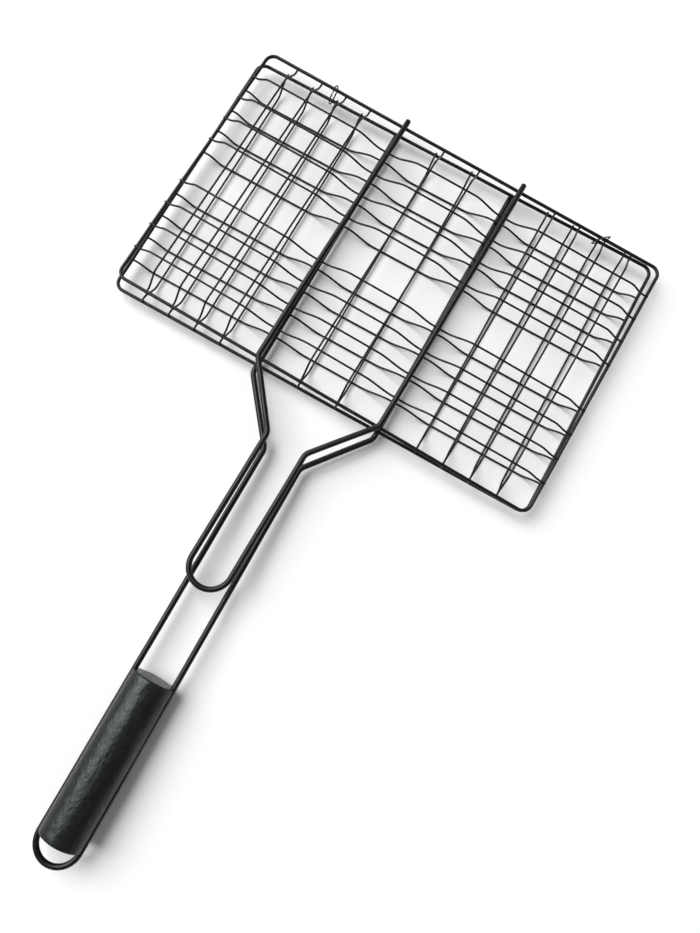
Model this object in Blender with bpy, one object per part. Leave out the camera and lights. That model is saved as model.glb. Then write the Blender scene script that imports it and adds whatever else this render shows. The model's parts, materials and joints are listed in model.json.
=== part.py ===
"""Folding wire grill basket: two bulged wire grids joined by loose rings, with a long wire handle.

Metres, +Z up.  X runs along the basket's long side, +Y points to the hinge edge and -Y down the handle.
The shapes are laid out around the middle of the lower frame.  At the end the whole basket is moved so
that the middle of its bounding box's underside is the world origin.
"""

import math

import bmesh
import bpy
from mathutils import Matrix, Vector

# ---- Driving dimensions (metres, radians) ----
BASKET_LENGTH = 0.360
BASKET_WIDTH = 0.224
CORNER_RADIUS = 0.0072
FRAME_WIRE = 0.0027
ROD_WIRE = 0.0044
GRID_WIRE = 0.0016
RING_WIRE = 0.0011
WELD_GAP = 0.0003

# The grid: distances of its wires from the middle, the same on both sides.
CROSS_WIRE_X = (0.0163, 0.0855, 0.1083, 0.1311, 0.1544)
LONG_WIRE_Y = (0.0210, 0.0427, 0.0641, 0.0856)
ROD_X = 0.053
GRID_BULGE = 0.0086
WIRE_OVERHANG = 0.0010
# Where a bend starts and ends, measured inwards from the frame or away from the rod.
CROSS_END_BEND = (0.0025, 0.0178)
LONG_END_BEND = (0.0030, 0.0165)
DIP_OUTER_BEND = (0.0065, 0.0305)
DIP_INNER_BEND = (0.0045, 0.0285)
BEND_STEPS = (0.0, 1 / 3, 2 / 3, 1.0)

# The upper half lies askew on the lower one, as far as the loose rings let it.
UPPER_TWIST = math.radians(-1.36)
UPPER_SHIFT = (0.0024, 0.0031)

# The handle: a rod pair under the lower frame that narrows to a neck and ends in a loop.
NECK_ANGLE = math.radians(38.5)
BEND_RADIUS = 0.009
HANDLE_SPACING = 0.0308
HANDLE_SHOULDER_Y = -0.118
LOOP_SPACING = 0.0319
LOOP_CENTRE_Y = -0.4676
HANDLE_LEAN = 0.010
RISE_START_Y = -0.118
LOWER_ROD_TIP = 0.0025
# The upper rod pair ends in a short loop that lies over the handle.
UPPER_ROD_TIP = 0.0052
CATCH_SPACING = 0.0324
CATCH_SHOULDER_Y = -0.112
CATCH_CENTRE_Y = -0.2630
CATCH_LEAN = 0.011
ARC_STEP = math.radians(20)

GRIP_FRONT_Y = -0.3471
GRIP_LENGTH = 0.1208
GRIP_WIDTH = 0.0332
GRIP_THICKNESS = 0.0270
GRIP_EDGE_ROUND = 0.0012
GRIP_ARC_POINTS = 12
GROOVE_POINTS = 5

# The hinge rings: each an oval around the two far frame wires, lying at a slant.
RING_SPLIT = 0.0006
LEFT_RING = {
    "centre": (-0.1135, 0.1151, 0.0032), "along": (0.13, 0.72, 0.76), "across": (0.62, -0.60, 0.51),
    "inner_length": 0.0138, "inner_width": 0.0059,
}
RIGHT_RING = {
    "centre": (0.1329, 0.1121, 0.0035), "along": (0.63, 0.50, 0.44), "across": (-0.16, -0.37, 0.92),
    "inner_length": 0.0132, "inner_width": 0.0094,
}

GRID_SIDES = 6
FRAME_SIDES = 8
UPPER = 1
LOWER = -1


def corner_radius(diameter, sides):
    """Radius to the corners of the polygon that has the area of a round wire."""
    turn = 2 * math.pi / sides
    return diameter / 2 * math.sqrt(turn / math.sin(turn))


def half_height(diameter, sides):
    """Distance from a wire's axis to its flats."""
    return corner_radius(diameter, sides) * math.cos(math.pi / sides)


# ---- Sizes worked out from the driving dimensions ----
HALF_LENGTH = BASKET_LENGTH / 2
HALF_WIDTH = BASKET_WIDTH / 2
FRAME_HALF = half_height(FRAME_WIRE, FRAME_SIDES)
ROD_HALF = half_height(ROD_WIRE, FRAME_SIDES)
GRID_HALF = half_height(GRID_WIRE, GRID_SIDES)
ROD_LEVEL = FRAME_HALF + WELD_GAP + ROD_HALF
GRID_SEAT = FRAME_HALF + WELD_GAP + GRID_HALF
DIP_LEVEL = ROD_LEVEL - ROD_HALF - WELD_GAP - GRID_HALF
CROSS_BULGE = GRID_BULGE - 2 * GRID_HALF - WELD_GAP
UPPER_LEVEL = 2 * (GRID_SEAT + GRID_HALF) + WELD_GAP
# The handle rises so that the grip's front underside is level with the grid's underside.
RISE_HEIGHT = GRIP_THICKNESS / 2 + ROD_LEVEL - GRID_BULGE - GRID_HALF
RISE_SLOPE = RISE_HEIGHT / (RISE_START_Y - GRIP_FRONT_Y)


# ---- Paths ----
def eased(t):
    """Height of an S-shaped bend, 0 to 1, at the fraction t of its length."""
    return t * t * (3 - 2 * t)


def bend(start, end, start_level, end_level):
    """Points (place, level) of one S-shaped bend."""
    return [
        (start + (end - start) * t, start_level + (end_level - start_level) * eased(t)) for t in BEND_STEPS
    ]


def mirrored(half_path):
    """A path from its half: the points at positive places, then their mirror images at negative ones."""
    return half_path + [(-place, level) for place, level in reversed(half_path)]


def cross_wire_path(x, half):
    """A cross wire seated on the inner side of the frame's long sides and bulging outwards between."""
    seat = -half * GRID_SEAT
    start, end = CROSS_END_BEND
    profile = [(HALF_WIDTH + WIRE_OVERHANG, seat)]
    profile += bend(HALF_WIDTH - start, HALF_WIDTH - end, seat, half * CROSS_BULGE)
    return [Vector((x, y, z)) for y, z in mirrored(profile)]


def long_wire_path(y, half):
    """A long wire seated on the outer side of the frame's short sides, dipping back to each rod."""
    seat = half * GRID_SEAT
    bulge = half * GRID_BULGE
    dip = half * DIP_LEVEL
    profile = [(HALF_LENGTH + WIRE_OVERHANG, seat)]
    profile += bend(HALF_LENGTH - LONG_END_BEND[0], HALF_LENGTH - LONG_END_BEND[1], seat, bulge)
    profile += bend(ROD_X + DIP_OUTER_BEND[1], ROD_X + DIP_OUTER_BEND[0], bulge, dip)
    profile += bend(ROD_X - DIP_INNER_BEND[0], ROD_X - DIP_INNER_BEND[1], dip, bulge)
    return [Vector((x, y, z)) for x, z in mirrored(profile)]


def arc(centre, radius, start_angle, end_angle):
    """Points of an arc in the XY plane."""
    steps = max(2, round(abs(end_angle - start_angle) / ARC_STEP))
    angles = [start_angle + (end_angle - start_angle) * i / steps for i in range(steps + 1)]
    return [Vector((centre[0] + radius * math.cos(a), centre[1] + radius * math.sin(a), 0)) for a in angles]


def frame_path():
    """A closed rectangle with round corners."""
    x = HALF_LENGTH - CORNER_RADIUS
    y = HALF_WIDTH - CORNER_RADIUS
    quarter = math.pi / 2
    points = []
    for i, centre in enumerate(((x, y), (-x, y), (-x, -y), (x, -y))):
        points += arc(centre, CORNER_RADIUS, i * quarter, (i + 1) * quarter)
    return points


def rounded_corner(before, corner, after):
    """Points of the arc that rounds off one corner of a wire."""
    into = (corner - before).normalized()
    out = (after - corner).normalized()
    turn = into.angle(out)
    reach = BEND_RADIUS * math.tan(turn / 2)
    start = corner - into * reach
    end = corner + out * reach
    middle = corner + (out - into).normalized() * BEND_RADIUS * (1 / math.cos(turn / 2) - 1)
    return [start, middle, end]


def neck_end_at(shoulder_y, spacing):
    """Where a neck that starts at the shoulder has come in to the spacing of its two wires."""
    return shoulder_y - (ROD_X - spacing / 2) / math.tan(NECK_ANGLE)


def rod_pair_path(tip, shoulder_y, spacing, loop_spacing, loop_centre_y):
    """One wire: up one rod, in along the neck, round the loop and back the same way."""
    rod_end = Vector((-ROD_X, HALF_WIDTH + tip, 0))
    shoulder = Vector((-ROD_X, shoulder_y, 0))
    neck_end = Vector((-spacing / 2, neck_end_at(shoulder_y, spacing), 0))
    loop_start = Vector((-loop_spacing / 2, loop_centre_y, 0))
    side = [rod_end, *rounded_corner(rod_end, shoulder, neck_end)]
    side += rounded_corner(shoulder, neck_end, loop_start)
    other_side = [Vector((-p.x, p.y, p.z)) for p in reversed(side)]
    return side + arc((0, loop_centre_y), loop_spacing / 2, math.pi, 2 * math.pi) + other_side


def leaned(points, lean, level, slope):
    """The points at their level, leaning sideways past the frame and rising with the handle."""
    result = []
    for p in points:
        past_frame = max(0.0, -HALF_WIDTH - p.y)
        past_rise = max(0.0, RISE_START_Y - p.y)
        result.append(Vector((p.x + lean * past_frame, p.y, level + slope * past_rise)))
    return result


def ring_path(ring):
    """An oval of one turn with a small split in the middle of one long side."""
    along = Vector(ring["along"]).normalized()
    across = Vector(ring["across"])
    across = (across - along * across.dot(along)).normalized()
    radius = (ring["inner_width"] + RING_WIRE) / 2
    straight = (ring["inner_length"] + RING_WIRE) / 2 - radius
    quarter = math.pi / 2
    flat = [Vector((RING_SPLIT / 2, -radius, 0))]
    flat += arc((straight, 0), radius, -quarter, quarter)
    flat += arc((-straight, 0), radius, quarter, 3 * quarter)
    flat += [Vector((-RING_SPLIT / 2, -radius, 0))]
    return [Vector(ring["centre"]) + along * p.x + across * p.y for p in flat]


# ---- Objects ----
def clear_scene():
    for item in list(bpy.data.objects):
        bpy.data.objects.remove(item, do_unlink=True)


def make_material(name, colour, roughness, metallic):
    material = bpy.data.materials.new(name)
    material.use_nodes = True
    shader = material.node_tree.nodes["Principled BSDF"]
    shader.inputs["Base Color"].default_value = (*colour, 1.0)
    shader.inputs["Roughness"].default_value = roughness
    shader.inputs["Metallic"].default_value = metallic
    return material


def add_pivot(name, location, twist=0.0, parent=None):
    """An empty on a joint's axis, which carries the pieces that swing about it."""
    pivot = bpy.data.objects.new(name, None)
    pivot.location = location
    pivot.rotation_euler.z = twist
    pivot.parent = parent
    bpy.context.scene.collection.objects.link(pivot)
    return pivot


def add_wire(name, points, diameter, sides, material, parent, origin=(0, 0, 0), closed=False):
    """A round wire along the points, given in the half's own frame and kept relative to the origin."""
    curve = bpy.data.curves.new(name, "CURVE")
    curve.dimensions = "3D"
    curve.twist_mode = "Z_UP"
    curve.bevel_depth = corner_radius(diameter, sides)
    curve.bevel_resolution = (sides - 4) // 2
    curve.use_fill_caps = True
    spline = curve.splines.new("POLY")
    spline.points.add(len(points) - 1)
    flat_down = math.pi / sides if sides % 4 == 0 else 0.0
    for target, p in zip(spline.points, points):
        target.co = (*(p - Vector(origin)), 1.0)
        target.tilt = flat_down
    spline.use_cyclic_u = closed
    curve.materials.append(material)
    item = bpy.data.objects.new(name, curve)
    item.parent = parent
    bpy.context.scene.collection.objects.link(item)
    return item


def add_half(prefix, half, enamel, parent, origin):
    """One half's frame and grid."""
    add_wire(f"{prefix}_frame", frame_path(), FRAME_WIRE, FRAME_SIDES, enamel, parent, origin, closed=True)
    rows = list(reversed(LONG_WIRE_Y)) + [-y for y in LONG_WIRE_Y]
    for number, y in enumerate(rows, start=1):
        name = f"{prefix}_long_wire_{number}"
        add_wire(name, long_wire_path(y, half), GRID_WIRE, GRID_SIDES, enamel, parent, origin)
    columns = [-x for x in reversed(CROSS_WIRE_X)] + list(CROSS_WIRE_X)
    for number, x in enumerate(columns, start=1):
        name = f"{prefix}_cross_wire_{number}"
        add_wire(name, cross_wire_path(x, half), GRID_WIRE, GRID_SIDES, enamel, parent, origin)


def add_handle_wire(enamel, parent):
    path = rod_pair_path(LOWER_ROD_TIP, HANDLE_SHOULDER_Y, HANDLE_SPACING, LOOP_SPACING, LOOP_CENTRE_Y)
    points = leaned(path, HANDLE_LEAN, -ROD_LEVEL, RISE_SLOPE)
    add_wire("handle_wire", points, ROD_WIRE, FRAME_SIDES, enamel, parent)


def add_catch_loop(enamel, parent, origin):
    path = rod_pair_path(UPPER_ROD_TIP, CATCH_SHOULDER_Y, CATCH_SPACING, CATCH_SPACING, CATCH_CENTRE_Y)
    points = leaned(path, CATCH_LEAN, ROD_LEVEL, 0.0)
    add_wire("catch_loop", points, ROD_WIRE, FRAME_SIDES, enamel, parent, origin)


def add_ring(name, ring, steel, parent, origin):
    item = add_wire(name, ring_path(ring), RING_WIRE, GRID_SIDES, steel, parent, origin)
    item.data.twist_mode = "MINIMUM"


def grip_section(y, edge_inset):
    """The grip's outline at y: an oval with a round groove on each side for the handle wire."""
    neck_end_y = neck_end_at(HANDLE_SHOULDER_Y, HANDLE_SPACING)
    along = (y - neck_end_y) / (LOOP_CENTRE_Y - neck_end_y)
    wire_x = (HANDLE_SPACING + (LOOP_SPACING - HANDLE_SPACING) * along) / 2
    centre = Vector((HANDLE_LEAN * (-HALF_WIDTH - y), y, RISE_SLOPE * (RISE_START_Y - y) - ROD_LEVEL))
    groove = corner_radius(ROD_WIRE, FRAME_SIDES) + WELD_GAP
    half_x = GRIP_WIDTH / 2 - edge_inset
    half_z = GRIP_THICKNESS / 2 - edge_inset
    first_angle = math.asin(1.1 * groove / half_z)
    outline = []
    for side in (1, -1):
        for i in range(GRIP_ARC_POINTS):
            angle = first_angle + (math.pi - 2 * first_angle) * i / (GRIP_ARC_POINTS - 1)
            outline.append(Vector((side * half_x * math.cos(angle), 0, side * half_z * math.sin(angle))))
        for i in range(GROOVE_POINTS):
            angle = math.pi / 2 - math.pi * i / (GROOVE_POINTS - 1)
            x = -wire_x + groove * math.cos(angle)
            outline.append(Vector((side * x, 0, side * groove * math.sin(angle))))
    return [centre + p for p in outline]


def add_grip(wood, parent):
    back_y = GRIP_FRONT_Y - GRIP_LENGTH
    stations = (
        (GRIP_FRONT_Y, GRIP_EDGE_ROUND),
        (GRIP_FRONT_Y - GRIP_EDGE_ROUND, 0.0),
        (back_y + GRIP_EDGE_ROUND, 0.0),
        (back_y, GRIP_EDGE_ROUND),
    )
    mesh = bpy.data.meshes.new("grip")
    bm = bmesh.new()
    sections = [[bm.verts.new(p) for p in grip_section(y, inset)] for y, inset in stations]
    count = len(sections[0])
    for near, far in zip(sections, sections[1:]):
        for i in range(count):
            j = (i + 1) % count
            bm.faces.new((near[i], near[j], far[j], far[i]))
    bm.faces.new(sections[0])
    bm.faces.new(reversed(sections[-1]))
    bmesh.ops.recalc_face_normals(bm, faces=bm.faces)
    bm.to_mesh(mesh)
    bm.free()
    mesh.materials.append(wood)
    item = bpy.data.objects.new("grip", mesh)
    item.parent = parent
    bpy.context.scene.collection.objects.link(item)


def stand_on_origin(root):
    """Move the basket so that the middle of its bounding box's underside is the world origin."""
    bpy.context.view_layer.update()
    graph = bpy.context.evaluated_depsgraph_get()
    corners = []
    for item in bpy.data.objects:
        if item.type != "EMPTY":
            shape = item.evaluated_get(graph)
            mesh = shape.to_mesh()
            corners += [shape.matrix_world @ v.co for v in mesh.vertices]
            shape.to_mesh_clear()
    low = Vector([min(c[i] for c in corners) for i in range(3)])
    high = Vector([max(c[i] for c in corners) for i in range(3)])
    root.location = (-(low.x + high.x) / 2, -(low.y + high.y) / 2, -low.z)
    bpy.context.view_layer.update()


def build():
    clear_scene()
    enamel = make_material("black_enamel", (0.012, 0.013, 0.012), 0.30, 0.0)
    steel = make_material("ring_steel", (0.10, 0.10, 0.10), 0.35, 1.0)
    wood = make_material("grip_wood", (0.016, 0.017, 0.015), 0.50, 0.0)

    basket = add_pivot("basket", (0, 0, 0))
    lower_axis = Vector((0, HALF_WIDTH, 0))
    ring_pivot = add_pivot("ring_pivot", lower_axis, parent=basket)
    upper_place = Matrix.Translation((*UPPER_SHIFT, UPPER_LEVEL)) @ Matrix.Rotation(UPPER_TWIST, 4, "Z")
    upper_pivot = add_pivot("upper_pivot", upper_place @ lower_axis, UPPER_TWIST, basket)

    add_half("lower", LOWER, enamel, basket, (0, 0, 0))
    add_handle_wire(enamel, basket)
    add_grip(wood, basket)
    add_ring("hinge_ring_left", LEFT_RING, steel, ring_pivot, lower_axis)
    add_ring("hinge_ring_right", RIGHT_RING, steel, ring_pivot, lower_axis)
    add_half("upper", UPPER, enamel, upper_pivot, lower_axis)
    add_catch_loop(enamel, upper_pivot, lower_axis)
    stand_on_origin(basket)


build()
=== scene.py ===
import json
import math

import bmesh
import bpy
from mathutils import Matrix, Vector, noise


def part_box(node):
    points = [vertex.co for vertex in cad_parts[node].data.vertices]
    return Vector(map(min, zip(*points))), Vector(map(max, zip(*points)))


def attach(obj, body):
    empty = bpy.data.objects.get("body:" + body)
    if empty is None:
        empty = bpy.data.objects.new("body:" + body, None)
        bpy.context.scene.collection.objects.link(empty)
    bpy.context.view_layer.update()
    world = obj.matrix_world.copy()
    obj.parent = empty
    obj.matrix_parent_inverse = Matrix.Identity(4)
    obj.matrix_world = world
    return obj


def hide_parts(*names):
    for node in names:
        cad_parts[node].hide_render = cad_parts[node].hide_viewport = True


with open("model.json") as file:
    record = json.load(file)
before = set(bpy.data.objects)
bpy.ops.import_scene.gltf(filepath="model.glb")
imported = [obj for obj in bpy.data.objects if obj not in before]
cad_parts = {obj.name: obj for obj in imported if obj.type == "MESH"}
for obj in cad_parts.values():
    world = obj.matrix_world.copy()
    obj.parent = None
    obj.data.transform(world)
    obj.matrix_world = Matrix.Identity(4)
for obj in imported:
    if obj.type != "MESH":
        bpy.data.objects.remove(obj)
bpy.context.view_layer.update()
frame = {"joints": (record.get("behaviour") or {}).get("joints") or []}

# The looks of a folding wire grill basket.  Every wire of the CAD frame is drawn again as a smooth round
# tube with its welds, and the grip as a turned, painted wooden handle.  Metres, +Z up.

# ---- Sizes, as in the CAD model ----
BASKET_LENGTH = 0.360
BASKET_WIDTH = 0.224
CORNER_RADIUS = 0.0072
FRAME_WIRE = 0.0027
ROD_WIRE = 0.0044
GRID_WIRE = 0.0016
RING_WIRE = 0.0011
WELD_GAP = 0.0003
CROSS_WIRE_X = (0.0163, 0.0855, 0.1083, 0.1311, 0.1544)
LONG_WIRE_Y = (0.0210, 0.0427, 0.0641, 0.0856)
ROD_X = 0.053
GRID_BULGE = 0.0086
WIRE_OVERHANG = 0.0010
CROSS_END_BEND = (0.0025, 0.0178)
LONG_END_BEND = (0.0030, 0.0165)
DIP_OUTER_BEND = (0.0065, 0.0305)
DIP_INNER_BEND = (0.0045, 0.0285)
NECK_ANGLE = math.radians(38.5)
BEND_RADIUS = 0.009
HANDLE_SPACING = 0.0308
HANDLE_SHOULDER_Y = -0.118
LOOP_SPACING = 0.0319
LOOP_CENTRE_Y = -0.4676
HANDLE_LEAN = 0.010
RISE_START_Y = -0.118
LOWER_ROD_TIP = 0.0025
UPPER_ROD_TIP = 0.0052
CATCH_SPACING = 0.0324
CATCH_SHOULDER_Y = -0.112
CATCH_CENTRE_Y = -0.2630
CATCH_LEAN = 0.011
GRIP_FRONT_Y = -0.3471
GRIP_LENGTH = 0.1208
GRIP_WIDTH = 0.0332
GRIP_THICKNESS = 0.0270
LEFT_RING = {
    "centre": (-0.1135, 0.1151, 0.0032), "along": (0.13, 0.72, 0.76), "across": (0.62, -0.60, 0.51),
    "inner_length": 0.0138, "inner_width": 0.0059,
}
RIGHT_RING = {
    "centre": (0.1329, 0.1121, 0.0035), "along": (0.63, 0.50, 0.44), "across": (-0.16, -0.37, 0.92),
    "inner_length": 0.0132, "inner_width": 0.0094,
}
RING_SPLIT = 0.0006

# ---- How finely the wires are drawn, here and in the CAD model ----
BEND_POINTS = 12
ARC_STEP = math.radians(7.5)
THICK_SIDES = 20
GRID_SIDES = 14
CAD_THICK_SIDES = 8
CAD_GRID_SIDES = 6
UPPER = 1
LOWER = -1

HALF_LENGTH = BASKET_LENGTH / 2
HALF_WIDTH = BASKET_WIDTH / 2


def flat_half(diameter, sides):
    """Distance from a CAD wire's axis to its flats, for a polygon with the area of the round wire."""
    turn = 2 * math.pi / sides
    return diameter / 2 * math.sqrt(turn / math.sin(turn)) * math.cos(turn / 2)


FRAME_HALF = flat_half(FRAME_WIRE, CAD_THICK_SIDES)
ROD_HALF = flat_half(ROD_WIRE, CAD_THICK_SIDES)
GRID_HALF = flat_half(GRID_WIRE, CAD_GRID_SIDES)
ROD_LEVEL = FRAME_HALF + WELD_GAP + ROD_HALF
GRID_SEAT = FRAME_HALF + WELD_GAP + GRID_HALF
DIP_LEVEL = ROD_LEVEL - ROD_HALF - WELD_GAP - GRID_HALF
CROSS_BULGE = GRID_BULGE - 2 * GRID_HALF - WELD_GAP
RISE_SLOPE = (GRIP_THICKNESS / 2 + ROD_LEVEL - GRID_BULGE - GRID_HALF) / (RISE_START_Y - GRIP_FRONT_Y)


# ---- Where the two halves are ----
def lower_place():
    """The lower frame's middle, from its CAD node."""
    low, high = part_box("lower_frame")
    return Matrix.Translation((low + high) / 2)


def upper_place():
    """The upper frame's middle and twist, from the lid's hinge on its far wire."""
    hinge = next(j for j in frame["joints"] if j["name"] == "lid_swing")
    twist = math.atan2(-hinge["axis"][1], -hinge["axis"][0])
    turned = Matrix.Translation(hinge["pos_m"]) @ Matrix.Rotation(twist, 4, "Z")
    return turned @ Matrix.Translation((0, -HALF_WIDTH, 0))


LOWER_PLACE = lower_place()
UPPER_PLACE = upper_place()
PLACES = {LOWER: LOWER_PLACE, UPPER: UPPER_PLACE}
BODIES = {LOWER: "base", UPPER: "lid"}
PREFIXES = {LOWER: "lower", UPPER: "upper"}


# ---- Paths of the wires ----
def eased(t):
    """Height of an S-shaped bend, 0 to 1, at the fraction t of its length."""
    return t * t * (3 - 2 * t)


def bend(start, end, start_level, end_level):
    """Points (place, level) of one smooth S-shaped bend."""
    steps = [i / (BEND_POINTS - 1) for i in range(BEND_POINTS)]
    return [(start + (end - start) * t, start_level + (end_level - start_level) * eased(t)) for t in steps]


def mirrored(half_path):
    """A path from its half: the points at positive places, then their mirror images at negative ones."""
    return half_path + [(-place, level) for place, level in reversed(half_path)]


def cross_wire_path(x, half):
    """A cross wire seated on the inner side of the frame and bulging outwards between."""
    seat = -half * GRID_SEAT
    start, end = CROSS_END_BEND
    profile = [(HALF_WIDTH + WIRE_OVERHANG, seat)]
    profile += bend(HALF_WIDTH - start, HALF_WIDTH - end, seat, half * CROSS_BULGE)
    return [Vector((x, y, z)) for y, z in mirrored(profile)]


def long_wire_path(y, half):
    """A long wire seated on the outer side of the frame, dipping back to each rod."""
    seat = half * GRID_SEAT
    bulge = half * GRID_BULGE
    dip = half * DIP_LEVEL
    profile = [(HALF_LENGTH + WIRE_OVERHANG, seat)]
    profile += bend(HALF_LENGTH - LONG_END_BEND[0], HALF_LENGTH - LONG_END_BEND[1], seat, bulge)
    profile += bend(ROD_X + DIP_OUTER_BEND[1], ROD_X + DIP_OUTER_BEND[0], bulge, dip)
    profile += bend(ROD_X - DIP_INNER_BEND[0], ROD_X - DIP_INNER_BEND[1], dip, bulge)
    return [Vector((x, y, z)) for x, z in mirrored(profile)]


def arc(centre, radius, start_angle, end_angle):
    """Points of an arc in the XY plane."""
    steps = max(2, round(abs(end_angle - start_angle) / ARC_STEP))
    angles = [start_angle + (end_angle - start_angle) * i / steps for i in range(steps + 1)]
    return [Vector((centre[0] + radius * math.cos(a), centre[1] + radius * math.sin(a), 0)) for a in angles]


def frame_path():
    """A closed rectangle with round corners."""
    x = HALF_LENGTH - CORNER_RADIUS
    y = HALF_WIDTH - CORNER_RADIUS
    quarter = math.pi / 2
    points = []
    for i, centre in enumerate(((x, y), (-x, y), (-x, -y), (x, -y))):
        points += arc(centre, CORNER_RADIUS, i * quarter, (i + 1) * quarter)
    return points


def rounded_corner(before, corner, after):
    """Points of the arc that rounds off one corner of a wire."""
    into = (corner - before).normalized()
    out = (after - corner).normalized()
    turn = into.angle(out)
    inward = (out - into).normalized()
    centre = corner + inward * (BEND_RADIUS / math.cos(turn / 2))
    reach = BEND_RADIUS * math.tan(turn / 2)
    start = (corner - into * reach - centre).normalized()
    end = (corner + out * reach - centre).normalized()
    steps = max(3, round(turn / ARC_STEP))
    return [centre + start.slerp(end, i / steps) * BEND_RADIUS for i in range(steps + 1)]


def neck_end_at(shoulder_y, spacing):
    """Where a neck that starts at the shoulder has come in to the spacing of its two wires."""
    return shoulder_y - (ROD_X - spacing / 2) / math.tan(NECK_ANGLE)


def rod_pair_path(tip, shoulder_y, spacing, loop_spacing, loop_centre_y):
    """One wire: up one rod, in along the neck, round the loop and back the same way."""
    rod_end = Vector((-ROD_X, HALF_WIDTH + tip, 0))
    shoulder = Vector((-ROD_X, shoulder_y, 0))
    neck_end = Vector((-spacing / 2, neck_end_at(shoulder_y, spacing), 0))
    loop_start = Vector((-loop_spacing / 2, loop_centre_y, 0))
    side = [rod_end, *rounded_corner(rod_end, shoulder, neck_end)]
    side += rounded_corner(shoulder, neck_end, loop_start)
    other_side = [Vector((-p.x, p.y, p.z)) for p in reversed(side)]
    return side + arc((0, loop_centre_y), loop_spacing / 2, math.pi, 2 * math.pi) + other_side


def leaned(points, lean, level, slope):
    """The points at their level, leaning sideways past the frame and rising with the handle."""
    result = []
    for p in points:
        past_frame = max(0.0, -HALF_WIDTH - p.y)
        past_rise = max(0.0, RISE_START_Y - p.y)
        result.append(Vector((p.x + lean * past_frame, p.y, level + slope * past_rise)))
    return result


def ring_path(ring):
    """An oval of one turn with a small split in the middle of one long side."""
    along = Vector(ring["along"]).normalized()
    across = Vector(ring["across"])
    across = (across - along * across.dot(along)).normalized()
    radius = (ring["inner_width"] + RING_WIRE) / 2
    straight = (ring["inner_length"] + RING_WIRE) / 2 - radius
    quarter = math.pi / 2
    flat = [Vector((RING_SPLIT / 2, -radius, 0))]
    flat += arc((straight, 0), radius, -quarter, quarter)
    flat += arc((-straight, 0), radius, quarter, 3 * quarter)
    flat += [Vector((-RING_SPLIT / 2, -radius, 0))]
    return [Vector(ring["centre"]) + along * p.x + across * p.y for p in flat]


# ---- Meshes ----
WARP_SIZE = 0.05
WARP = Vector((0.00025, 0.00025, 0.00008))
WARP_SEED = 3
LONGEST_STEP = 0.008
END_PROFILE = ((0.40, 1.0), (0.12, 0.94), (0.0, 0.78))
SMOOTH_ANGLE = math.radians(50)


def warped(p):
    """A point moved by the slight unevenness of hand-loaded welded wire, the same for wires that touch."""
    shift = noise.noise_vector(p / WARP_SIZE)
    return p + Vector(a * b for a, b in zip(shift, WARP))


def resampled(points, closed):
    """The path with points added, so that long straight stretches can bend a little."""
    ends = points[1:] + points[:1] if closed else points[1:]
    result = []
    for a, b in zip(points, ends):
        count = max(1, math.ceil((b - a).length / LONGEST_STEP))
        result += [a.lerp(b, i / count) for i in range(count)]
    return result if closed else result + [points[-1]]


def sweep(bm, points, radii, sides, closed):
    """Rings of points around a path, joined into a tube.  Returns the first and the last ring."""
    count = len(points)
    rings = []
    side_way = None
    last_way = None
    for i, p in enumerate(points):
        before = points[i - 1] if closed or i > 0 else p
        after = points[(i + 1) % count] if closed or i < count - 1 else p
        way = (after - before).normalized()
        if side_way is None:
            side_way = way.orthogonal().normalized()
        else:
            side_way = last_way.rotation_difference(way) @ side_way
        side_way = (side_way - way * side_way.dot(way)).normalized()
        other_way = way.cross(side_way)
        last_way = way
        ring = []
        for k in range(sides):
            angle = 2 * math.pi * k / sides
            out = side_way * math.cos(angle) + other_way * math.sin(angle)
            ring.append(bm.verts.new(p + out * radii[i]))
        rings.append(ring)
    pairs = list(zip(rings, rings[1:]))
    if closed:
        pairs.append((rings[-1], rings[0]))
    for near, far in pairs:
        for k in range(sides):
            j = (k + 1) % sides
            bm.faces.new((near[k], near[j], far[j], far[k]))
    return rings[0], rings[-1]


def with_cut_ends(points, radius):
    """An open path and its radii, with a small rounded edge at each cut end."""
    first_way = (points[1] - points[0]).normalized()
    last_way = (points[-2] - points[-1]).normalized()
    start = [(points[0] + first_way * radius * depth, radius * part) for depth, part in reversed(END_PROFILE)]
    end = [(points[-1] + last_way * radius * depth, radius * part) for depth, part in END_PROFILE]
    both = start + [(p, radius) for p in points[1:-1]] + end
    return [p for p, _ in both], [r for _, r in both]


def finished(name, bm, material, body, *nodes):
    """The mesh as a smooth-shaded piece that rides on a body and stands for its CAD nodes."""
    bmesh.ops.recalc_face_normals(bm, faces=bm.faces)
    mesh = bpy.data.meshes.new(name)
    bm.to_mesh(mesh)
    bm.free()
    mesh.shade_smooth()
    mesh.set_sharp_from_angle(angle=SMOOTH_ANGLE)
    mesh.materials.append(material)
    piece = bpy.data.objects.new(name, mesh)
    bpy.context.scene.collection.objects.link(piece)
    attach(piece, body)
    if nodes:
        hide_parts(*nodes)
    return piece


def add_wire(name, node, path, place, diameter, sides, material, body, closed=False):
    """A round wire along a path of its half, in place of its CAD node."""
    points = [warped(place @ p) for p in resampled(path, closed)]
    radii = [diameter / 2] * len(points)
    if not closed:
        points, radii = with_cut_ends(points, diameter / 2)
    bm = bmesh.new()
    first, last = sweep(bm, points, radii, sides, closed)
    if not closed:
        bm.faces.new(first)
        bm.faces.new(last)
    piece = finished(name, bm, material, body, node)
    return piece


# ---- Welds ----
WELD_NOISE = 0.12
WELD_NOISE_FINENESS = 1.5
WELD_SEED_STEP = 1.7
# The half-sizes of each kind of weld along X, Y and Z, as parts of the grid wire's radius.
CROSSING_WELD = (1.02, 1.02, 0.8)
CROSS_END_WELD = (1.05, 1.3, 0.9)
LONG_END_WELD = (1.3, 1.05, 0.9)
ROD_WELD = (1.7, 1.1, 0.9)
ROD_FRAME_WELD = (2.0, 1.7, 1.0)


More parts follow.
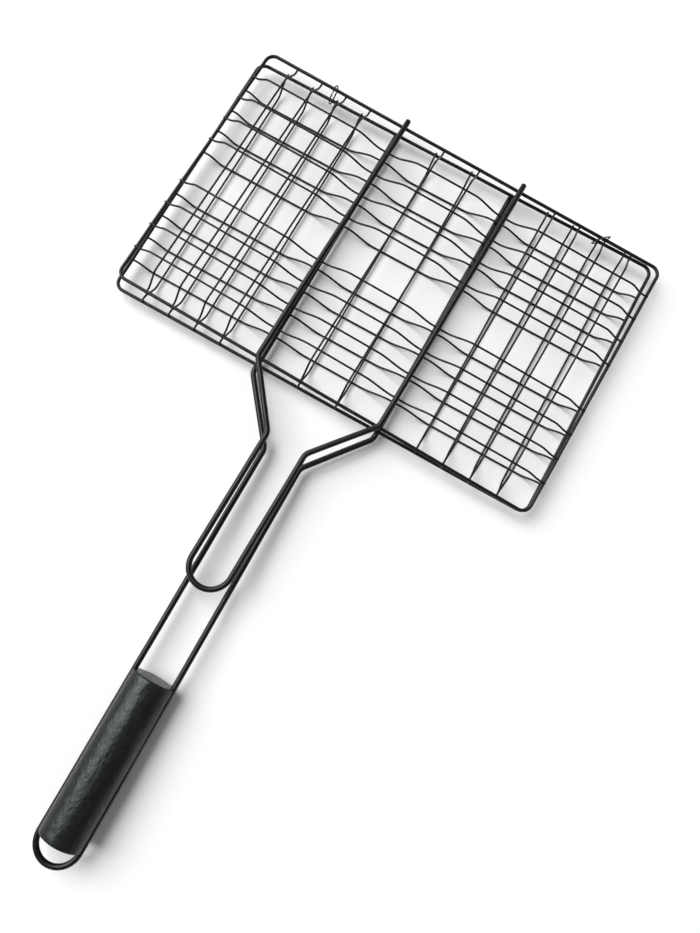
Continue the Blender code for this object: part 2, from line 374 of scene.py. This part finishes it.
def add_nugget(bm, centre, radii, seed):
    """One weld: a small uneven blob between two wires."""
    made = bmesh.ops.create_icosphere(bm, subdivisions=2, radius=1.0)
    for v in made["verts"]:
        uneven = 1 + WELD_NOISE * noise.noise(v.co * WELD_NOISE_FINENESS + Vector((seed, 0, 0)))
        v.co = centre + Vector(a * b for a, b in zip(v.co, radii)) * uneven


def weld_places(half):
    """(centre, half-sizes) of each weld of one half, in the half's own frame."""
    rows = [side * y for y in LONG_WIRE_Y for side in (1, -1)]
    columns = [side * x for x in CROSS_WIRE_X for side in (1, -1)]
    crossing_z = half * (GRID_BULGE + CROSS_BULGE) / 2
    inner_z = -half * (FRAME_HALF + WELD_GAP / 2)
    outer_z = half * (FRAME_HALF + WELD_GAP / 2)
    dip_z = half * (DIP_LEVEL + GRID_HALF + WELD_GAP / 2)
    welds = []
    for x in columns:
        welds += [((x, y, crossing_z), CROSSING_WELD) for y in rows]
        welds += [((x, side * HALF_WIDTH, inner_z), CROSS_END_WELD) for side in (1, -1)]
    for y in rows:
        for side in (1, -1):
            welds.append(((side * HALF_LENGTH, y, outer_z), LONG_END_WELD))
            welds.append(((side * ROD_X, y, dip_z), ROD_WELD))
    for x in (ROD_X, -ROD_X):
        welds += [((x, y, outer_z), ROD_FRAME_WELD) for y in (HALF_WIDTH, -HALF_WIDTH)]
    return [(Vector(centre), tuple(GRID_WIRE / 2 * part for part in parts)) for centre, parts in welds]


def add_welds(half, enamel):
    """All the welds of one half, as one piece."""
    bm = bmesh.new()
    for seed, (centre, radii) in enumerate(weld_places(half)):
        add_nugget(bm, warped(PLACES[half] @ centre), radii, seed * WELD_SEED_STEP)
    piece = finished(f"{PREFIXES[half]}_welds", bm, enamel, BODIES[half])


def add_half(half, enamel):
    """The frame, the grid and the welds of one half."""
    place = PLACES[half]
    body = BODIES[half]
    prefix = PREFIXES[half]
    add_wire(f"{prefix}_border", f"{prefix}_frame", frame_path(), place, FRAME_WIRE, THICK_SIDES, enamel,
             body, closed=True)
    rows = list(reversed(LONG_WIRE_Y)) + [-y for y in LONG_WIRE_Y]
    for number, y in enumerate(rows, start=1):
        add_wire(f"{prefix}_long_{number}", f"{prefix}_long_wire_{number}", long_wire_path(y, half), place,
                 GRID_WIRE, GRID_SIDES, enamel, body)
    columns = [-x for x in reversed(CROSS_WIRE_X)] + list(CROSS_WIRE_X)
    for number, x in enumerate(columns, start=1):
        add_wire(f"{prefix}_cross_{number}", f"{prefix}_cross_wire_{number}", cross_wire_path(x, half), place,
                 GRID_WIRE, GRID_SIDES, enamel, body)
    add_welds(half, enamel)


def add_rods(enamel):
    """The handle wire of the lower half and the catch loop of the upper one."""
    handle = rod_pair_path(LOWER_ROD_TIP, HANDLE_SHOULDER_Y, HANDLE_SPACING, LOOP_SPACING, LOOP_CENTRE_Y)
    handle = leaned(handle, HANDLE_LEAN, -ROD_LEVEL, RISE_SLOPE)
    add_wire("handle_rods", "handle_wire", handle, LOWER_PLACE, ROD_WIRE, THICK_SIDES, enamel,
             "base")
    catch = rod_pair_path(UPPER_ROD_TIP, CATCH_SHOULDER_Y, CATCH_SPACING, CATCH_SPACING, CATCH_CENTRE_Y)
    catch = leaned(catch, CATCH_LEAN, ROD_LEVEL, 0.0)
    add_wire("catch_rods", "catch_loop", catch, UPPER_PLACE, ROD_WIRE, THICK_SIDES, enamel,
             "lid")


def add_rings(steel):
    for side, ring in (("left", LEFT_RING), ("right", RIGHT_RING)):
        add_wire(f"ring_{side}", f"hinge_ring_{side}", ring_path(ring), LOWER_PLACE, RING_WIRE, GRID_SIDES,
                 steel, "hinge_rings")


# ---- The grip ----
GRIP_STATIONS = 44
GRIP_ARC_POINTS = 30
GROOVE_POINTS = 11
GRIP_EDGE_ROUND = 0.0014
EDGE_STEPS = 5
GRIP_UNEVENNESS = 0.00012
UNEVEN_WIDTH = 0.006
UNEVEN_LENGTH = 0.022
GRIP_BELLY = 0.0002
GROOVE_LIP = 1.08


def grip_stations():
    """(distance from the front end, edge inset) along the grip, closer together at its rounded ends."""
    quarter = [math.pi / 2 * i / EDGE_STEPS for i in range(EDGE_STEPS + 1)]
    rounding = [(GRIP_EDGE_ROUND * (1 - math.sin(a)), GRIP_EDGE_ROUND * (1 - math.cos(a))) for a in quarter]
    front = list(reversed(rounding))
    back = [(GRIP_LENGTH - depth, inset) for depth, inset in rounding]
    span = GRIP_LENGTH - 2 * GRIP_EDGE_ROUND
    middle = [(GRIP_EDGE_ROUND + span * i / GRIP_STATIONS, 0.0) for i in range(1, GRIP_STATIONS)]
    return front + middle + back


def grip_section(y, inset):
    """The grip's outline at y: an oval with a round groove on each side for the handle wire."""
    neck_end_y = neck_end_at(HANDLE_SHOULDER_Y, HANDLE_SPACING)
    along = (y - neck_end_y) / (LOOP_CENTRE_Y - neck_end_y)
    wire_x = (HANDLE_SPACING + (LOOP_SPACING - HANDLE_SPACING) * along) / 2
    centre = Vector((HANDLE_LEAN * (-HALF_WIDTH - y), y, RISE_SLOPE * (RISE_START_Y - y) - ROD_LEVEL))
    groove = ROD_WIRE / 2 + WELD_GAP / 2
    half_x = GRIP_WIDTH / 2 - inset
    half_z = GRIP_THICKNESS / 2 - inset
    first_angle = math.asin(GROOVE_LIP * groove / half_z)
    outline = []
    for side in (1, -1):
        for i in range(GRIP_ARC_POINTS):
            angle = first_angle + (math.pi - 2 * first_angle) * i / (GRIP_ARC_POINTS - 1)
            outline.append(Vector((side * half_x * math.cos(angle), 0, side * half_z * math.sin(angle))))
        for i in range(GROOVE_POINTS):
            angle = math.pi / 2 - math.pi * i / (GROOVE_POINTS - 1)
            x = -wire_x + groove * math.cos(angle)
            outline.append(Vector((side * x, 0, side * groove * math.sin(angle))))
    return [centre + p for p in outline]


def add_grip(wood):
    """The wooden grip: sanded and painted, so its faces are very slightly uneven."""
    bm = bmesh.new()
    sections = []
    for depth, inset in grip_stations():
        y = GRIP_FRONT_Y - depth
        belly = GRIP_BELLY * math.sin(math.pi * depth / GRIP_LENGTH)
        section = []
        for p in grip_section(y, inset - belly):
            spot = Vector((p.x / UNEVEN_WIDTH, p.y / UNEVEN_LENGTH, p.z / UNEVEN_WIDTH))
            uneven = noise.noise(spot) * GRIP_UNEVENNESS
            out = Vector((p.x, 0, p.z - RISE_SLOPE * (RISE_START_Y - y) + ROD_LEVEL)).normalized()
            section.append(bm.verts.new(LOWER_PLACE @ (p + out * uneven)))
        sections.append(section)
    count = len(sections[0])
    for near, far in zip(sections, sections[1:]):
        for i in range(count):
            j = (i + 1) % count
            bm.faces.new((near[i], near[j], far[j], far[i]))
    bm.faces.new(sections[0])
    bm.faces.new(sections[-1])
    piece = finished("wood_grip", bm, wood, "base", "grip")


# ---- Materials ----
# Gloss is the strength of the mirror part of the light, with 0.5 for ordinary varnish.
ENAMEL_GLOSS = 0.30
PAINT_GLOSS = 0.42


class Shading:
    """A material's node tree, with short ways to add and join its nodes."""

    def __init__(self, name):
        self.material = bpy.data.materials.new(name)
        self.material.use_nodes = True
        self.tree = self.material.node_tree
        self.shader = self.tree.nodes["Principled BSDF"]
        self.place = self.add("ShaderNodeTexCoord").outputs["Object"]

    def add(self, kind, **values):
        made = self.tree.nodes.new(kind)
        for key, value in values.items():
            made.inputs[key.replace("_", " ")].default_value = value
        return made

    def join(self, source, target):
        self.tree.links.new(source, target)

    def noise(self, size, detail=3.0, stretch=(1, 1, 1)):
        """A noise pattern whose patches are about `size` metres across."""
        mapping = self.add("ShaderNodeMapping")
        mapping.inputs["Scale"].default_value = tuple(s / size for s in stretch)
        pattern = self.add("ShaderNodeTexNoise", Scale=1.0, Detail=detail)
        self.join(self.place, mapping.inputs["Vector"])
        self.join(mapping.outputs["Vector"], pattern.inputs["Vector"])
        return pattern.outputs["Fac"]

    def ramp(self, source, stops):
        """Colours along a 0 to 1 value; stops are (position, colour)."""
        made = self.add("ShaderNodeValToRGB")
        elements = made.color_ramp.elements
        while len(elements) < len(stops):
            elements.new(0.5)
        for element, (position, colour) in zip(elements, stops):
            element.position = position
            element.color = (*colour, 1.0)
        self.join(source, made.inputs["Fac"])
        return made.outputs["Color"]

    def between(self, source, low, high, new_low, new_high):
        """The value moved from one range to another."""
        made = self.add("ShaderNodeMapRange", From_Min=low, From_Max=high, To_Min=new_low, To_Max=new_high)
        self.join(source, made.inputs["Value"])
        return made.outputs["Result"]

    def bump(self, source, height, after=None):
        made = self.add("ShaderNodeBump", Strength=1.0, Distance=height)
        self.join(source, made.inputs["Height"])
        if after is not None:
            self.join(after, made.inputs["Normal"])
        return made.outputs["Normal"]


def enamel_material():
    """Satin black coating: slightly mottled, with the fine orange-peel surface of baked paint."""
    s = Shading("satin_black_enamel")
    patches = s.noise(0.012)
    s.join(s.ramp(patches, ((0.35, (0.0020, 0.0022, 0.0021)), (0.70, (0.0055, 0.0060, 0.0055)))),
           s.shader.inputs["Base Color"])
    s.join(s.between(s.noise(0.004), 0.3, 0.7, 0.24, 0.38), s.shader.inputs["Roughness"])
    s.shader.inputs["Specular IOR Level"].default_value = ENAMEL_GLOSS
    s.join(s.bump(s.noise(0.0007, 2.0), 0.00003), s.shader.inputs["Normal"])
    return s.material


def steel_material():
    """Dark spring-steel wire with drawing marks."""
    s = Shading("dark_ring_steel")
    patches = s.noise(0.002)
    s.join(s.ramp(patches, ((0.3, (0.018, 0.018, 0.017)), (0.7, (0.045, 0.045, 0.043)))),
           s.shader.inputs["Base Color"])
    s.join(s.between(s.noise(0.001), 0.3, 0.7, 0.28, 0.45), s.shader.inputs["Roughness"])
    s.shader.inputs["Metallic"].default_value = 0.8
    s.join(s.bump(s.noise(0.0004, 2.0), 0.00001), s.shader.inputs["Normal"])
    return s.material


def wood_material():
    """Wood under thin black paint: the grain still shows, and the sheen is mottled."""
    s = Shading("black_painted_wood")
    grain_way = (1.0, 0.07, 1.0)
    patches = s.noise(0.006, 4.0, (1.0, 0.5, 1.0))
    s.join(s.ramp(patches, ((0.3, (0.0030, 0.0036, 0.0031)), (0.75, (0.0060, 0.0070, 0.0058)))),
           s.shader.inputs["Base Color"])
    s.join(s.between(s.noise(0.0022, 4.0), 0.3, 0.7, 0.24, 0.44), s.shader.inputs["Roughness"])
    s.shader.inputs["Specular IOR Level"].default_value = PAINT_GLOSS
    s.shader.inputs["Specular Tint"].default_value = (0.90, 1.0, 0.93, 1.0)
    fine = s.bump(s.noise(0.0006, 3.0, grain_way), 0.00006)
    s.join(s.bump(s.noise(0.0035, 3.0, (1.0, 0.45, 1.0)), 0.00050, fine), s.shader.inputs["Normal"])
    return s.material


def floor_material():
    """Plain matt white card."""
    s = Shading("pale_floor")
    s.shader.inputs["Base Color"].default_value = (0.92, 0.922, 0.925, 1.0)
    s.shader.inputs["Roughness"].default_value = 0.7
    return s.material


# ---- Studio ----
FLOOR_SIZE = 60.0
FLOOR_DROP = 0.0002
HORIZON_LIGHT = (0.80, 0.81, 0.82, 1.0)
ZENITH_LIGHT = (0.05, 0.051, 0.052, 1.0)
ZENITH_FROM = 0.55


def add_floor():
    bm = bmesh.new()
    bmesh.ops.create_grid(bm, x_segments=1, y_segments=1, size=FLOOR_SIZE / 2)
    mesh = bpy.data.meshes.new("floor")
    bm.to_mesh(mesh)
    bm.free()
    mesh.materials.append(floor_material())
    floor = bpy.data.objects.new("floor", mesh)
    floor.location.z = -FLOOR_DROP
    bpy.context.scene.collection.objects.link(floor)


def facing(back, up):
    """The turn of a camera or light that looks away from `back`, with `up` upwards."""
    back = back.normalized()
    right = up.cross(back).normalized()
    return Matrix((right, back.cross(right), back)).transposed().to_4x4()


def add_soft_sun(name, towards, spread, strength):
    """Even light from one side of the sky, as wide as a large window or a white ceiling."""
    light = bpy.data.lights.new(name, "SUN")
    light.angle = spread
    light.energy = strength
    item = bpy.data.objects.new(name, light)
    item.matrix_world = facing(Vector(towards), Vector((0, 1, 0)))
    bpy.context.scene.collection.objects.link(item)


def add_world():
    """A dim studio that is paler towards the horizon."""
    world = bpy.data.worlds.new("studio")
    world.use_nodes = True
    bpy.context.scene.world = world
    tree = world.node_tree
    place = tree.nodes.new("ShaderNodeTexCoord")
    split = tree.nodes.new("ShaderNodeSeparateXYZ")
    ramp = tree.nodes.new("ShaderNodeValToRGB")
    ramp.color_ramp.elements[0].position = 0.0
    ramp.color_ramp.elements[0].color = HORIZON_LIGHT
    ramp.color_ramp.elements[1].position = ZENITH_FROM
    ramp.color_ramp.elements[1].color = ZENITH_LIGHT
    tree.links.new(place.outputs["Generated"], split.inputs["Vector"])
    tree.links.new(split.outputs["Z"], ramp.inputs["Fac"])
    tree.links.new(ramp.outputs["Color"], tree.nodes["Background"].inputs["Color"])


def add_lights():
    """A large window on the left and a weak white ceiling."""
    add_soft_sun("window", towards=(-0.62, 0.10, 0.78), spread=math.radians(52), strength=3.6)
    add_soft_sun("ceiling", towards=(0.10, 0.25, 0.96), spread=math.radians(100), strength=0.35)


# ---- Camera ----
# Its place is measured from the middle of the lower frame.
CAMERA_FROM_FRAME = Vector((0.07827, -0.23595, 0.55585))
SIGHT_LINE = Vector((-0.05346, 0.16036, -0.98561))
IMAGE_UP = Vector((-0.48677, 0.85762, 0.16594))
CAMERA_LENS = 28.94
SENSOR_WIDTH = 36.0
NEAR_CLIP = 0.01


def add_camera():
    data = bpy.data.cameras.new("camera")
    data.lens = CAMERA_LENS
    data.sensor_width = SENSOR_WIDTH
    data.clip_start = NEAR_CLIP
    camera = bpy.data.objects.new("camera", data)
    place = LOWER_PLACE @ CAMERA_FROM_FRAME
    camera.matrix_world = Matrix.Translation(place) @ facing(-SIGHT_LINE, IMAGE_UP)
    bpy.context.scene.collection.objects.link(camera)
    bpy.context.scene.camera = camera


def main():
    # Without a seed the noise starts from the clock, and each run would bend the wires differently.
    noise.seed_set(WARP_SEED)
    bpy.context.scene.view_settings.view_transform = "Standard"
    enamel = enamel_material()
    add_half(LOWER, enamel)
    add_half(UPPER, enamel)
    add_rods(enamel)
    add_rings(steel_material())
    add_grip(wood_material())
    add_floor()
    add_world()
    add_lights()
    add_camera()


main()
